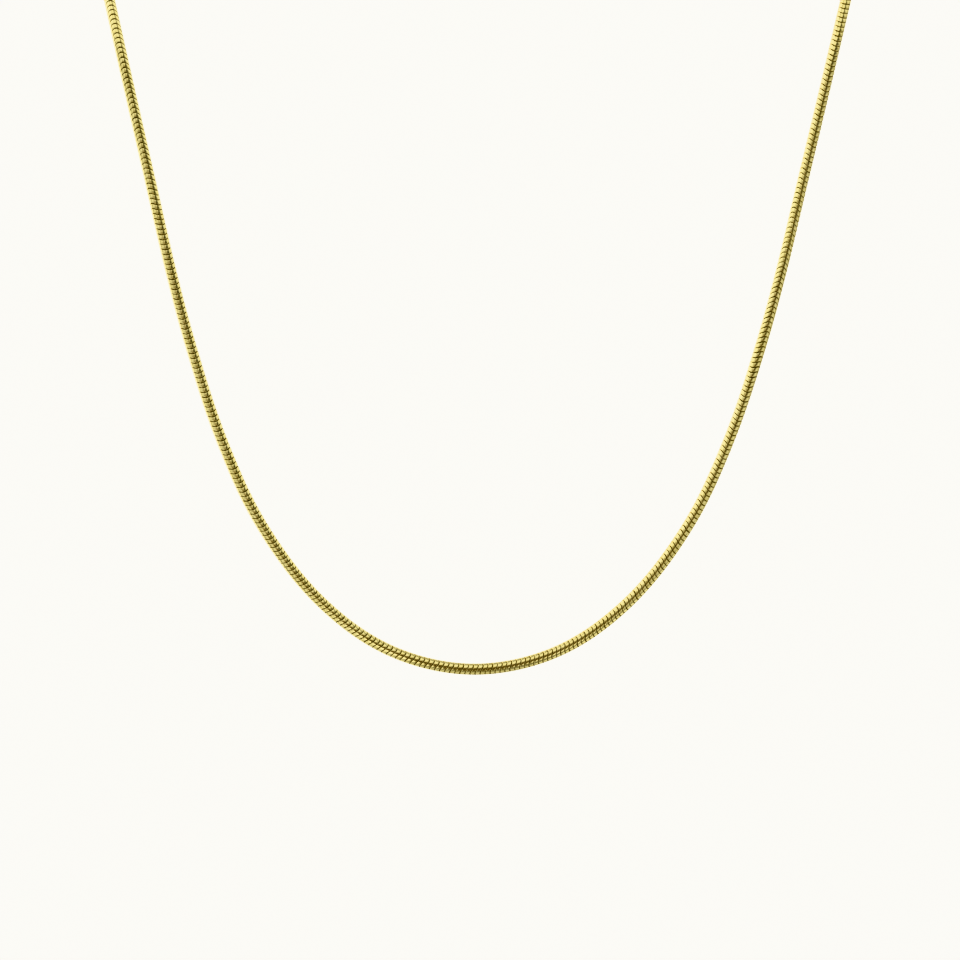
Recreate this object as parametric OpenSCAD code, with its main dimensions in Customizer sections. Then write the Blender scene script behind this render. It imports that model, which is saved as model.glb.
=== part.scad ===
// Round snake chain necklace in its worn form: one slim chain and a plain barrel clasp.
// Sizes are in millimetres. Z is up the neck's middle and the front of the necklace faces -Y.
// Z = 0 is level with the back of the neck, where the necklace hangs.

/* [Chain] */
// Outside diameter of the chain
chain_d = 1.5; // [1:0.1:2.4]

/* [Clasp] */
// Length of the clasp, end to end
clasp_l = 12; // [10:0.5:16]
// Metal round each socket
clasp_wall = 0.7; // [0.4:0.1:1.2]
// Length of the rounded shoulder at each end
shoulder_l = 1.2; // [0.6:0.1:1.8]
// How much the shoulder narrows at the clasp's end, on the radius
shoulder_drop = 0.25; // [0.1:0.05:0.3]
// Width of the turned groove round the middle
groove_w = 0.6; // [0.3:0.1:1.2]
// Depth of the turned groove
groove_depth = 0.2; // [0.1:0.05:0.35]

/* [Fit] */
// Depth of each socket
socket_l = 3.5; // [2:0.5:4]
// Gap round each chain end in its socket
socket_gap = 0.1; // [0.05:0.05:0.2]
// Gap between each chain end and the bottom of its socket
tip_gap = 0.1; // [0.05:0.05:0.5]

/* [Hidden] */

// The chain's middle line, from beside the clasp round the wearer's left side to the lowest point.
// The other side mirrors it.
half_route = [
    [12, 51, 0],
    [24.5, 48.5, 0],
    [36, 42, -0.5],
    [46, 32, -1.5],
    [53, 19, -3.5],
    [56.5, 5.5, -7],
    [57, -8.5, -12],
    [55, -22, -20.5],
    [51.5, -33, -33],
    [48, -40, -46],
    [45.5, -42.5, -56],
    [43, -44.5, -66],
    [40, -47, -78],
    [37, -49, -88.5],
    [33, -51.5, -100],
    [27.7, -54, -111],
    [20.2, -56, -120.7],
    [10.9, -57.5, -127.3],
    [0, -58, -129.7]
];

chain_sides = 8;
rings_per_span = 2;
// A point inside the loop, which each ring of the tube faces away from
loop_middle = [0, 0, -45];
round_sides = 64;
shoulder_step = 15;
// How far each socket's cutter stands out of the clasp's end
cut_over = 1;

nape_y = half_route[0][1];
nape_z = half_route[0][2];
socket_d = chain_d + 2 * socket_gap;
clasp_d = socket_d + 2 * clasp_wall;
tip_x = clasp_l / 2 - socket_l + tip_gap;

// One side of the chain: straight out of the socket, then along the chosen points
half_line = concat(
    [[tip_x, nape_y, nape_z], [clasp_l / 2, nape_y, nape_z]],
    half_route
);
last = len(half_line) - 1;
line = concat(
    half_line,
    [for (i = [1:last]) [-half_line[last - i][0], half_line[last - i][1], half_line[last - i][2]]]
);

function unit(v) = v / norm(v);

// A point of the line, carried straight on past either end
function at(i) =
    i < 0 ? 2 * line[0] - line[1] :
    i >= len(line) ? 2 * line[len(line) - 1] - line[len(line) - 2] :
    line[i];

// Smooth curve through the points, at a share t of the way from point i to the next
function curve(i, t) =
    0.5 * (
        2 * at(i)
        + (at(i + 1) - at(i - 1)) * t
        + (2 * at(i - 1) - 5 * at(i) + 4 * at(i + 1) - at(i + 2)) * pow(t, 2)
        + (3 * at(i) - at(i - 1) - 3 * at(i + 1) + at(i + 2)) * pow(t, 3)
    );

centres = concat(
    [for (i = [0:len(line) - 2]) for (k = [0:rings_per_span - 1]) curve(i, k / rings_per_span)],
    [line[len(line) - 1]]
);
ring_count = len(centres);

// Direction of the chain at a ring
function along(i) = unit(centres[min(i + 1, ring_count - 1)] - centres[max(i - 1, 0)]);

// Direction from the inside of the loop outwards, square to the chain
function outwards(i) =
    let (reach = centres[i] - loop_middle, run = along(i))
    unit(reach - (reach * run) * run);

function ring(i) =
    let (out = outwards(i), side = cross(along(i), out))
    [for (k = [0:chain_sides - 1])
        let (turn = 360 * k / chain_sides)
        centres[i] + chain_d / 2 * (cos(turn) * out + sin(turn) * side)];

// Number of the corner k of ring i in the list of all corners
function corner(i, k) = i * chain_sides + k % chain_sides;

tube_points = [for (i = [0:ring_count - 1]) each ring(i)];
tube_faces = concat(
    [[for (k = [0:chain_sides - 1]) corner(0, k)]],
    [for (i = [0:ring_count - 2]) for (k = [0:chain_sides - 1]) each [
        [corner(i, k), corner(i + 1, k), corner(i + 1, k + 1)],
        [corner(i, k), corner(i + 1, k + 1), corner(i, k + 1)]
    ]],
    [[for (k = [0:chain_sides - 1]) corner(ring_count - 1, chain_sides - 1 - k)]]
);

module snake_chain() {
    color("goldenrod")
    polyhedron(points = tube_points, faces = tube_faces, convexity = 8);
}

// Right half of the clasp's outline: the groove's slope, the barrel and the rounded shoulder
half_outline = concat(
    [[clasp_d / 2 - groove_depth, 0], [clasp_d / 2, groove_w / 2]],
    [for (turn = [0:shoulder_step:90]) [
        clasp_d / 2 - shoulder_drop * (1 - cos(turn)),
        clasp_l / 2 - shoulder_l * (1 - sin(turn))
    ]],
    [[0, clasp_l / 2]]
);
outline_last = len(half_outline) - 1;
clasp_outline = concat(
    half_outline,
    [for (i = [0:outline_last - 1]) [half_outline[outline_last - i][0], -half_outline[outline_last - i][1]]]
);

module socket() {
    translate([0, 0, clasp_l / 2 - socket_l])
    cylinder(h = socket_l + cut_over, d = socket_d, $fn = round_sides);
}

module clasp() {
    color("gold")
    translate([0, nape_y, nape_z])
    rotate([0, 90, 0])
    difference() {
        rotate_extrude($fn = round_sides) polygon(clasp_outline);
        socket();
        mirror([0, 0, 1]) socket();
    }
}

snake_chain();
clasp();
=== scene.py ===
# Round snake chain necklace: its looks, link by link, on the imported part.
# Everything is in metres in the part's own frame: Z up the neck, -Y towards the front.
import math

import bpy
import numpy as np
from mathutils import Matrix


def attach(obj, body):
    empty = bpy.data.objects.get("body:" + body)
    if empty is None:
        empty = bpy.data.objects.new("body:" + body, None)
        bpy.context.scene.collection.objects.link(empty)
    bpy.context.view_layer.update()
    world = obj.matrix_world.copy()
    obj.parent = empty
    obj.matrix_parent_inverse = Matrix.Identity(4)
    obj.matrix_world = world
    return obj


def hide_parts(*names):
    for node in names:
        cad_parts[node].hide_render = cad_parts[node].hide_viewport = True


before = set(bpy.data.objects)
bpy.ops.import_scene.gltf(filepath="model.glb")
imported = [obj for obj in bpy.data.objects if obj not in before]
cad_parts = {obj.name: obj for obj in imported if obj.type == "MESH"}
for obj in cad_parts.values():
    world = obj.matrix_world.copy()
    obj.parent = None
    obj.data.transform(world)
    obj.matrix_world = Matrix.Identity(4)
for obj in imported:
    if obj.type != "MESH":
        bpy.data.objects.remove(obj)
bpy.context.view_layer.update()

print("frame loaded with", ", ".join(sorted(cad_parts)))

# Camera: looks level, straight in front of the hanging curve
photoView = {
    "eye": (0.00068, -0.470, -0.105521),
    "roll": 0.28,              # degrees, anticlockwise from behind the camera
    "frontPlane": -0.050,      # the plane that the frame's width is measured in
    "frameWidth": 0.1248,
    "sensorWidth": 36.0,
    "nearest": 0.01,
    "farthest": 20,
}


def addCamera():
    data = bpy.data.cameras.new("photoView")
    data.sensor_width = photoView["sensorWidth"]
    reach = photoView["frontPlane"] - photoView["eye"][1]
    data.lens = data.sensor_width * reach / photoView["frameWidth"]
    data.clip_start = photoView["nearest"]
    data.clip_end = photoView["farthest"]
    camera = bpy.data.objects.new("photoView", data)
    camera.location = photoView["eye"]
    camera.rotation_euler = (math.radians(90), -math.radians(photoView["roll"]), 0)
    bpy.context.scene.collection.objects.link(camera)
    bpy.context.scene.camera = camera


addCamera()
print("camera placed")

# The chain's middle line, the same points as the part's source has: from its end in the clasp
# round the wearer's left side to the lowest point. The other side mirrors it.
route = {
    "half": [
        (0.0026, 0.051, 0),
        (0.006, 0.051, 0),
        (0.012, 0.051, 0),
        (0.0245, 0.0485, 0),
        (0.036, 0.042, -0.0005),
        (0.046, 0.032, -0.0015),
        (0.053, 0.019, -0.0035),
        (0.0565, 0.0055, -0.007),
        (0.057, -0.0085, -0.012),
        (0.055, -0.022, -0.0205),
        (0.0515, -0.033, -0.033),
        (0.048, -0.040, -0.046),
        (0.0455, -0.0425, -0.056),
        (0.043, -0.0445, -0.066),
        (0.040, -0.047, -0.078),
        (0.037, -0.049, -0.0885),
        (0.033, -0.0515, -0.100),
        (0.0277, -0.054, -0.111),
        (0.0202, -0.056, -0.1207),
        (0.0109, -0.0575, -0.1273),
        (0, -0.058, -0.1297),
    ],
    "samplesPerSpan": 200,
    "step": 0.0001,          # between the samples that the links are set on
    "smoothing": 0.0015,     # evens out the bends between the points
    "smoothingReach": 3,     # how many times as far as that it reaches to either side
    "straightEnd": 0.009,    # no smoothing nearer than this to the chain's ends
}


# A smooth curve through all the points, the same kind as in the part's source
def throughPoints(points, samples):
    before = 2 * points[0] - points[1]
    after = 2 * points[-1] - points[-2]
    padded = np.vstack([before, points, after])
    t = (np.arange(samples) / samples)[:, None]
    runs = []
    for i in range(len(points) - 1):
        a, b, c, d = padded[i:i + 4]
        runs.append(0.5 * (
            2 * b
            + (c - a) * t
            + (2 * a - 5 * b + 4 * c - d) * t ** 2
            + (3 * b - a - 3 * c + d) * t ** 3
        ))
    return np.vstack(runs + [points[-1:]])


def evenlySpaced(points, step):
    travelled = np.r_[0, np.cumsum(np.linalg.norm(np.diff(points, axis=0), axis=1))]
    count = int(round(travelled[-1] / step)) + 1
    wanted = np.linspace(0, travelled[-1], count)
    return wanted, np.stack([np.interp(wanted, travelled, points[:, k]) for k in range(3)], axis=1)


def smoothed(points, step):
    reach = int(route["smoothingReach"] * route["smoothing"] / step)
    offsets = np.arange(-reach, reach + 1) * step
    weights = np.exp(-0.5 * (offsets / route["smoothing"]) ** 2)
    weights /= weights.sum()
    low = 2 * points[0] - points[reach:0:-1]
    high = 2 * points[-1] - points[-2:-reach - 2:-1]
    padded = np.vstack([low, points, high])
    soft = np.stack([np.convolve(padded[:, k], weights, mode="valid") for k in range(3)], axis=1)
    fromEnd = np.minimum(np.arange(len(points)), np.arange(len(points))[::-1]) * step
    share = np.clip((fromEnd - route["straightEnd"]) / route["straightEnd"], 0, 1)[:, None]
    return points + (soft - points) * share


# Directions square to the chain that turn with it without twist, from the front at the lowest point
def frontAlong(along):
    front = np.zeros_like(along)
    middle = len(along) // 2
    front[middle] = (0, -1, 0)
    for order in (range(middle + 1, len(along)), range(middle - 1, -1, -1)):
        last = front[middle]
        for i in order:
            last = last - last.dot(along[i]) * along[i]
            last = last / np.linalg.norm(last)
            front[i] = last
    return front


# Runs from the wearer's right end to the left end. "place" is the distance along the chain from its
# lowest point, positive on the wearer's left. "front" and "inner" are square to the chain: at the
# lowest point they face the camera and the neck opening. "cameraTurn" is the turn from the front to
# the camera, positive towards the inner side.
def chainLine():
    half = np.array(route["half"], float)
    whole = np.vstack([half * (-1, 1, 1), half[-2::-1]])
    points = evenlySpaced(throughPoints(whole, route["samplesPerSpan"]), route["step"])[1]
    place, points = evenlySpaced(smoothed(points, route["step"]), route["step"])
    along = np.gradient(points, axis=0)
    along = along / np.linalg.norm(along, axis=-1, keepdims=True)
    front = frontAlong(along)
    inner = np.cross(front, along)
    toCamera = np.array(photoView["eye"]) - points
    cameraTurn = np.arctan2((toCamera * inner).sum(axis=1), (toCamera * front).sum(axis=1))
    return {
        "place": place - place[-1] / 2,
        "points": points,
        "front": front,
        "inner": inner,
        "cameraTurn": np.unwrap(cameraTurn),
    }


line = chainLine()
print("chain line", round(float(line["place"][-1] - line["place"][0]), 4), "m long")

# The links: wavy rings that nest in each other and make a round tube
links = {
    "radius": 0.00075,
    "bore": 0.00042,         # inside radius of each ring
    # From one link to the next: place along the chain, and distance
    "spacing": [
        (-0.112, 0.000725),
        (-0.075, 0.000690),
        (-0.045, 0.000680),
        (-0.025, 0.000600),
        (-0.005, 0.000640),
        (0.015, 0.000590),
        (0.035, 0.000660),
        (0.080, 0.000695),
        (0.112, 0.000730),
        (0.130, 0.000690),
    ],
    "wave": 0.00022,         # how far a ring swings along the chain, twice each way round it
    "bandShare": 0.99,       # a ring's width as a share of the spacing
    # Half of a ring's section, from its face to where it meets the next ring: share of the half
    # width, depth below the face, and how much of it gets the painted shade of the grooves. Two rows
    # near the face's rim keep the shading of the face flat up to there.
    "section": [
        (0.66, 0.0, 0.0),
        (0.745, 0.000004, 0.0),
        (0.81, 0.000020, 0.6),
        (0.85, 0.000055, 1.0),
        (1.0, 0.000060, 1.0),
    ],
    "sides": 44,
    "shift": 0.000006,       # uneven spacing from link to link
    "tilt": 0.012,           # uneven lean from link to link, as a slope
    "seed": 7,
    # Twist of the chain: place along it, and the turn of the wave's forward crest in degrees,
    # from the side that faces the camera towards the inner side
    "twist": [
        (-0.110, 90),
        (-0.088, 80),
        (-0.082, 45),
        (-0.075, 8),
        (-0.055, 5),
        (-0.035, 12),
        (-0.015, 25),
        (0.005, 42),
        (0.020, 50),
        (0.040, 62),
        (0.050, 78),
        (0.056, 98),
        (0.0605, 135),
        (0.066, 165),
        (0.073, 183),
        (0.078, 205),
        (0.084, 230),
        (0.092, 252),
        (0.110, 268),
    ],
    "visibleHalf": 0.112,    # past this place the turn towards the camera is held
    "pieces": ("links_right_back", "links_right_front", "links_left_front", "links_left_back"),
}


# Middles of the links, as far apart as the spacing says
def linkPlaces():
    places, spacings = zip(*links["spacing"])
    widest = max(spacings)
    low = line["place"][0] + links["wave"] + widest / 2
    high = line["place"][-1] - links["wave"] - widest / 2
    grid = line["place"][(line["place"] >= low) & (line["place"] <= high)]
    steps = np.diff(grid) / np.interp(grid[:-1], places, spacings)
    number = np.r_[0, np.cumsum(steps)]
    wanted = np.linspace(0, number[-1], int(number[-1]) + 1)
    return np.interp(wanted, number, grid)


def twistAt(place):
    places, degrees = zip(*links["twist"])
    turn = np.interp(place, places, np.radians(degrees))
    seen = np.clip(place, -links["visibleHalf"], links["visibleHalf"])
    return turn + np.interp(seen, line["place"], line["cameraTurn"])


# A ring's whole section, over its face and back along its bore: place across the band as a share of
# its half width, radius, and how much of it gets the painted shade of the grooves and the bore
def ringSection():
    share, depth, shadeShare = np.array(links["section"]).T
    widths = np.r_[-share[::-1], share, 1, -1]
    radii = np.r_[links["radius"] - np.r_[depth[::-1], depth], links["bore"], links["bore"]]
    # how much of each row gets the painted shade of the grooves; the two bore rows get all of it
    grooveShade = np.r_[shadeShare[::-1], shadeShare, 1, 1]
    return widths, radii, grooveShade


# The chain line's points or directions at any places along it
def lineAt(place, what):
    return np.stack([np.interp(place, line["place"], line[what][:, k]) for k in range(3)], axis=-1)


# Points of the links: rows of links, then round each ring, then across its band
def linkPoints(centres, rng):
    count = len(centres)
    turns = np.linspace(0, 2 * math.pi, links["sides"], endpoint=False)
    halfBand = np.interp(centres, *zip(*links["spacing"])) * links["bandShare"] / 2
    widths, radii, grooveShade = ringSection()
    shift = rng.normal(0, links["shift"], count)[:, None]
    tiltTurn = rng.uniform(0, 2 * math.pi, count)[:, None]
    tilt = rng.normal(0, links["tilt"], count)[:, None] * links["radius"]
    tone = rng.uniform(0, 1, count)[:, None, None]
    swing = links["wave"] * np.cos(2 * (turns[None, :] - twistAt(centres)[:, None]))
    swing = swing + shift + tilt * np.cos(turns[None, :] - tiltTurn)
    place = centres[:, None, None] + swing[:, :, None] + widths * halfBand[:, None, None]
    place = np.clip(place, line["place"][0], line["place"][-1])
    cosine = np.cos(turns)[None, :, None, None]
    sine = np.sin(turns)[None, :, None, None]
    outward = cosine * lineAt(place, "front") + sine * lineAt(place, "inner")
    spots = lineAt(place, "points") + radii[:, None] * outward
    return spots, {
        # painted shade: how much of each point takes the dark groove colour
        "grooveShade": np.broadcast_to(grooveShade, place.shape),
        "tone": np.broadcast_to(tone, place.shape),
    }


# Closes every ring round the chain and round its own section
def meshFromGrid(name, spots, attributes):
    count, sides, across = spots.shape[:3]
    number = np.arange(count * sides * across).reshape(count, sides, across)
    nextSide = np.roll(number, -1, axis=1)
    corners = np.stack([
        number,
        nextSide,
        np.roll(nextSide, -1, axis=2),
        np.roll(number, -1, axis=2),
    ], axis=-1).reshape(-1)
    mesh = bpy.data.meshes.new(name)
    mesh.vertices.add(number.size)
    mesh.vertices.foreach_set("co", spots.astype(np.float32).ravel())
    mesh.loops.add(len(corners))
    mesh.loops.foreach_set("vertex_index", corners.astype(np.int32))
    mesh.polygons.add(len(corners) // 4)
    mesh.polygons.foreach_set("loop_start", np.arange(0, len(corners), 4, dtype=np.int32))
    mesh.update(calc_edges=True)
    mesh.shade_smooth()
    for title, values in attributes.items():
        attribute = mesh.attributes.new(title, "FLOAT", "POINT")
        attribute.data.foreach_set("value", values.astype(np.float32).ravel())
    piece = bpy.data.objects.new(name, mesh)
    bpy.context.scene.collection.objects.link(piece)
    return piece


def buildLinks(material):
    rng = np.random.default_rng(links["seed"])
    shares = np.array_split(linkPlaces(), len(links["pieces"]))
    for name, centres in zip(links["pieces"], shares):
        spots, attributes = linkPoints(centres, rng)
        piece = meshFromGrid(name, spots, attributes)
        piece.data.materials.append(material)
        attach(piece, "root")
        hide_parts("snake_chain")
        print(name, "has", len(centres), "links and", 2 * len(piece.data.polygons), "triangles")


# A material's or a world's nodes, with their inputs set or linked in one call
class Nodes:
    def __init__(self, owner):
        owner.use_nodes = True
        self.tree = owner.node_tree
        self.tree.nodes.clear()

    def put(self, value, socket):
        if isinstance(value, bpy.types.NodeSocket):
            self.tree.links.new(value, socket)
        else:
            socket.default_value = value

    def add(self, kind, inputs=None, **settings):
        node = self.tree.nodes.new(kind)
        for key, value in settings.items():
            setattr(node, key, value)
        for key, value in (inputs or {}).items():
            self.put(value, node.inputs[key])
        return node

    def attribute(self, name):
        return self.add("ShaderNodeAttribute", attribute_name=name).outputs["Fac"]

    def place(self):
        return self.add("ShaderNodeTexCoord").outputs["Object"]

    def noise(self, place, scale, detail):
        inputs = {"Vector": place, "Scale": scale, "Detail": detail}
        return self.add("ShaderNodeTexNoise", inputs).outputs["Fac"]

    def mapRange(self, value, low, high, toLow=0.0, toHigh=1.0, **settings):
        inputs = {
            "Value": value,
            "From Min": low,
            "From Max": high,
            "To Min": toLow,
            "To Max": toHigh,
        }
        return self.add("ShaderNodeMapRange", inputs, **settings).outputs["Result"]

    # The node's colour inputs are its numbers 6 and 7
    def mixColour(self, share, first, second):
        node = self.add("ShaderNodeMix", {0: share}, data_type="RGBA")
        for value, socket in ((first, node.inputs[6]), (second, node.inputs[7])):
            self.put((*value, 1) if isinstance(value, tuple) else value, socket)
        return node.outputs[2]

    def surface(self, inputs):
        shader = self.add("ShaderNodeBsdfPrincipled", inputs)
        output = self.add("ShaderNodeOutputMaterial")
        self.put(shader.outputs["BSDF"], output.inputs["Surface"])


# The links' gold: each has its own tone, grooves and bore get painted shade, the gloss is a little
# uneven
goldFinish = {
    "colour": (0.89, 0.785, 0.35),
    "wornColour": (0.82, 0.71, 0.29),
    # painted shade: the dark colour in the grooves between the links and in the bore
    "grooveShadeColour": (0.22, 0.14, 0.02),
    "roughness": (0.07, 0.18),
    "blotchScale": 900.0,
    "blotchDetail": 3.0,
    "blotchRange": (0.3, 0.7),         # of the noise, from the glossiest to the dullest
}


def chainGold():
    material = bpy.data.materials.new("chainGold")
    nodes = Nodes(material)
    blotch = nodes.noise(nodes.place(), goldFinish["blotchScale"], goldFinish["blotchDetail"])
    plate = nodes.mixColour(nodes.attribute("tone"), goldFinish["colour"], goldFinish["wornColour"])
    nodes.surface({
        # the grooves' painted shade is mixed over the plate's colour
        "Base Color": nodes.mixColour(nodes.attribute("grooveShade"), plate, goldFinish["grooveShadeColour"]),
        "Metallic": 1.0,
        "Roughness": nodes.mapRange(blotch, *goldFinish["blotchRange"], *goldFinish["roughness"]),
    })
    return material


# The clasp is turned from a bar: fine lines run round it, the groove is painted darker as shade, the
# ends are rubbed
claspFinish = {
    "colour": (0.89, 0.785, 0.35),
    "wornColour": (0.82, 0.71, 0.29),
    # painted shade: the darker colour of the groove round the clasp's middle, full near the middle
    # and fading out further along
    "grooveShadeColour": (0.50, 0.38, 0.12),
    "rubbedColour": (0.92, 0.83, 0.42),
    "grooveShadeHalf": (0.00018, 0.00042),  # the groove's full colour ends and fades out
    "rubbedFrom": (0.0050, 0.0060),    # distance from the clasp's middle
    "blotchScale": 500.0,
    "blotchDetail": 4.0,
    "lines": (26000.0, 260.0, 260.0),  # how fine they are along the clasp and round it
    "lineDetail": 2.0,
    "lineRange": (0.3, 0.7),           # of the noise, from the glossiest to the dullest
    "lineStrength": 0.5,
    "lineDepth": 0.000004,
    "roughness": (0.13, 0.30),
}


def claspGold():
    material = bpy.data.materials.new("claspGold")
    nodes = Nodes(material)
    place = nodes.place()
    alongClasp = nodes.add("ShaderNodeSeparateXYZ", {"Vector": place}).outputs["X"]
    fromMiddle = nodes.add("ShaderNodeMath", {0: alongClasp}, operation="ABSOLUTE").outputs[0]
    stretched = nodes.add(
        "ShaderNodeVectorMath", {0: place, 1: claspFinish["lines"]}, operation="MULTIPLY",
    ).outputs["Vector"]
    turned = nodes.noise(stretched, 1.0, claspFinish["lineDetail"])
    blotch = nodes.noise(place, claspFinish["blotchScale"], claspFinish["blotchDetail"])
    colour = nodes.mixColour(blotch, claspFinish["colour"], claspFinish["wornColour"])
    rubbed = nodes.mapRange(fromMiddle, *claspFinish["rubbedFrom"])
    colour = nodes.mixColour(rubbed, colour, claspFinish["rubbedColour"])
    # painted shade in the groove round the clasp's middle
    shadeShare = nodes.mapRange(fromMiddle, *claspFinish["grooveShadeHalf"], 1.0, 0.0)
    colour = nodes.mixColour(shadeShare, colour, claspFinish["grooveShadeColour"])
    lines = nodes.add("ShaderNodeBump", {
        "Height": turned,
        "Strength": claspFinish["lineStrength"],
        "Distance": claspFinish["lineDepth"],
    }).outputs["Normal"]
    nodes.surface({
        "Base Color": colour,
        "Metallic": 1.0,
        "Roughness": nodes.mapRange(turned, *claspFinish["lineRange"], *claspFinish["roughness"]),
        "Normal": lines,
    })
    return material


buildLinks(chainGold())
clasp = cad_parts["clasp"]
clasp.data.materials.clear()
clasp.data.materials.append(claspGold())
print("clasp finished")

# A plain pale floor, far below the hanging curve
floorPaper = {
    "height": -0.40,
    "radius": 1.2,
    "corners": 128,
    "colour": (0.80, 0.78, 0.75),
    "paleColour": (0.84, 0.82, 0.79),
    "grainScale": 60.0,
    "grainDetail": 5.0,
    "roughness": 0.8,
}


def addFloor():
    bpy.ops.mesh.primitive_circle_add(
        vertices=floorPaper["corners"], radius=floorPaper["radius"], fill_type="NGON",
        location=(0, 0, floorPaper["height"]),
    )
    floor = bpy.context.object
    floor.name = "floor"
    material = bpy.data.materials.new("floorPaper")
    nodes = Nodes(material)
    grain = nodes.noise(nodes.place(), floorPaper["grainScale"], floorPaper["grainDetail"])
    nodes.surface({
        "Base Color": nodes.mixColour(grain, floorPaper["colour"], floorPaper["paleColour"]),
        "Roughness": floorPaper["roughness"],
    })
    floor.data.materials.append(material)
    floor.visible_glossy = False       # it would hide the light below from the chain


# The light: soft boxes all round, which only the chain sees. The camera sees plain paper.
studio = {
    "paper": (1.932, 1.91, 1.804),     # brighter than white: it bleaches the chain's edges
    # Rings of soft boxes as the chain sees them: the angle from the camera's side, half angles of
    # the even middle and of the soft rim, and brightness from the right round through the top
    "rings": [
        (30, 5, 15, (0.4, 0.03, 0.35, 0.3, 0.55, 1.5, 0.05, 0.95)),
        (55, 10, 27, (0.6, 0.11, 1.0, 0.8, 0.65, 0.8, 0.3, 0.25)),
        (90, 14, 32, (0.5, 0.85, 0.4, 1.5, 0.5, 0.5, 0.6, 0.8)),
        (128, 16, 36, (0.25, 0.8, 0.3, 0.8, 2.2, 0.8, 0.25, 0.3)),
        (180, 20, 45, (1.3,)),         # behind the chain
    ],
    # One more box round the camera, with its angle and turn, both half angles and its brightness.
    # It is dim, which gives the dark line along the chain.
    "warmBox": (0, 0, 20, 42, 0.13),
    "warmColour": (1.0, 0.72, 0.50),
    "viewTransform": "Khronos PBR Neutral",
    "viewLook": "Medium High Contrast",
}


# Brightness of one soft box at any direction: full inside its even middle, none outside its rim.
# It stands at an angle from the camera's side, and is turned round the line of sight from the right.
def softBox(nodes, direction, fromCamera, turned, middle, rim, strength):
    tip, turn = math.radians(fromCamera), math.radians(turned)
    axis = (math.sin(tip) * math.cos(turn), -math.cos(tip), math.sin(tip) * math.sin(turn))
    facing = nodes.add("ShaderNodeVectorMath", {0: direction, 1: axis}, operation="DOT_PRODUCT")
    rimFacing, middleFacing = math.cos(math.radians(rim)), math.cos(math.radians(middle))
    return nodes.mapRange(
        facing.outputs["Value"], rimFacing, middleFacing, 0.0, strength,
        interpolation_type="SMOOTHSTEP",
    )


def lightWorld():
    world = bpy.data.worlds.new("studio")
    bpy.context.scene.world = world
    nodes = Nodes(world)
    direction = nodes.add("ShaderNodeTexCoord").outputs["Generated"]
    total = 0.0
    for fromCamera, middle, rim, strengths in studio["rings"]:
        for number, strength in enumerate(strengths):
            turned = 360 / len(strengths) * number
            box = softBox(nodes, direction, fromCamera, turned, middle, rim, strength)
            total = nodes.add("ShaderNodeMath", {0: total, 1: box}).outputs[0]
    white = nodes.add("ShaderNodeBackground", {"Color": (1, 1, 1, 1), "Strength": total})
    warm = nodes.add("ShaderNodeBackground", {
        "Color": (*studio["warmColour"], 1),
        "Strength": softBox(nodes, direction, *studio["warmBox"]),
    })
    lit = nodes.add("ShaderNodeAddShader", {0: white.outputs[0], 1: warm.outputs[0]})
    seen = nodes.add("ShaderNodeBackground", {"Color": (*studio["paper"], 1), "Strength": 1.0})
    ray = nodes.add("ShaderNodeLightPath").outputs["Is Camera Ray"]
    both = nodes.add("ShaderNodeMixShader", {0: ray, 1: lit.outputs[0], 2: seen.outputs[0]})
    output = nodes.add("ShaderNodeOutputWorld")
    nodes.put(both.outputs[0], output.inputs["Surface"])


addFloor()
lightWorld()
bpy.context.scene.view_settings.view_transform = studio["viewTransform"]
bpy.context.scene.view_settings.look = studio["viewLook"]
print("floor and light placed")
